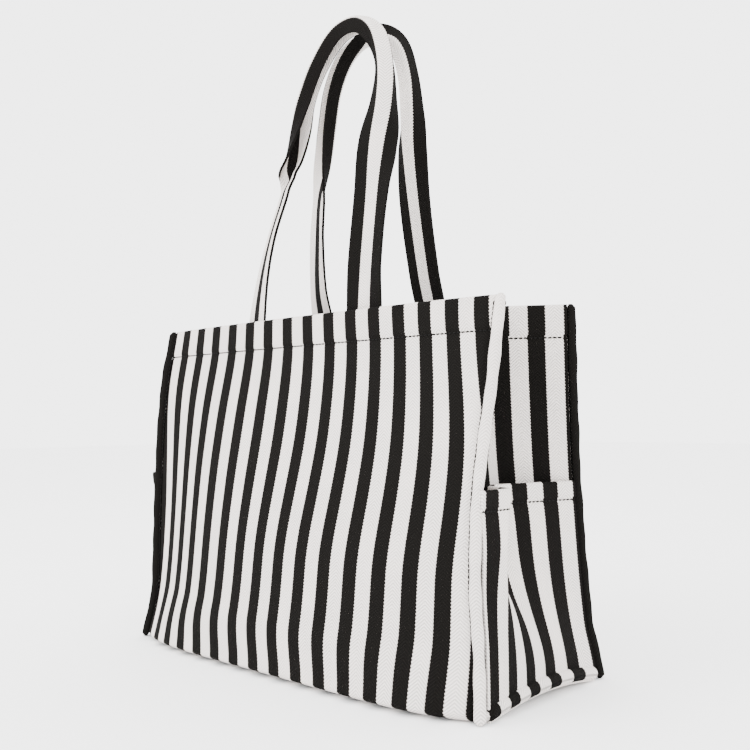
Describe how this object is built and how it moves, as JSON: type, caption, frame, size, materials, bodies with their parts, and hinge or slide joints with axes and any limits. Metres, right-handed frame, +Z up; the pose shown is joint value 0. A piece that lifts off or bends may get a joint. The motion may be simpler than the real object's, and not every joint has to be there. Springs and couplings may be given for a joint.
{
  "type": "tote bag",
  "caption": "Free-standing striped canvas tote with inward-folding sides, open side pockets and two strap handles that flop over outside.",
  "frame": {"origin": "on the floor under the middle of the base", "axes": "+X across the bag to its right side as seen from the front, +Y from front to back, +Z up"},
  "size_m": [0.44, 0.1978, 0.6181],
  "materials": {
    "striped_canvas": "matte herringbone twill, black and off-white stripes",
    "turned_hem": "matte, the same canvas turned in",
    "pinched_seam": "matte, pinched and topstitched canvas",
    "strap_canvas": "matte, folded canvas strap"
  },
  "bodies": {
    "root": {"front_panel": "striped_canvas", "back_panel": "striped_canvas", "bottom_panel": "striped_canvas", "front_hem": "turned_hem", "back_hem": "turned_hem", "right_gusset": "striped_canvas", "left_gusset": "striped_canvas", "right_gusset_hem": "turned_hem", "left_gusset_hem": "turned_hem", "right_pocket": "striped_canvas", "left_pocket": "striped_canvas", "right_pocket_hem": "turned_hem", "left_pocket_hem": "turned_hem", "front_right_corner_seam": "pinched_seam", "front_left_corner_seam": "pinched_seam", "back_right_corner_seam": "pinched_seam", "back_left_corner_seam": "pinched_seam", "right_foot_seam": "pinched_seam", "left_foot_seam": "pinched_seam", "front_handle_left_end": "strap_canvas", "front_handle_right_end": "strap_canvas", "back_handle_left_end": "strap_canvas", "back_handle_right_end": "strap_canvas"},
    "front_strap": {"front_handle": "strap_canvas"},
    "back_strap": {"back_handle": "strap_canvas"}
  },
  "joints": [
    {"name": "front_strap_flop", "type": "hinge", "parent": "root", "child": "front_strap", "pos_m": [0, -0.05235, 0.3225], "axis": [1, 0, 0], "range_deg": [0, 172]},
    {"name": "back_strap_flop", "type": "hinge", "parent": "root", "child": "back_strap", "pos_m": [0, 0.05235, 0.3225], "axis": [-1, 0, 0], "range_deg": [0, 172]}
  ]
}
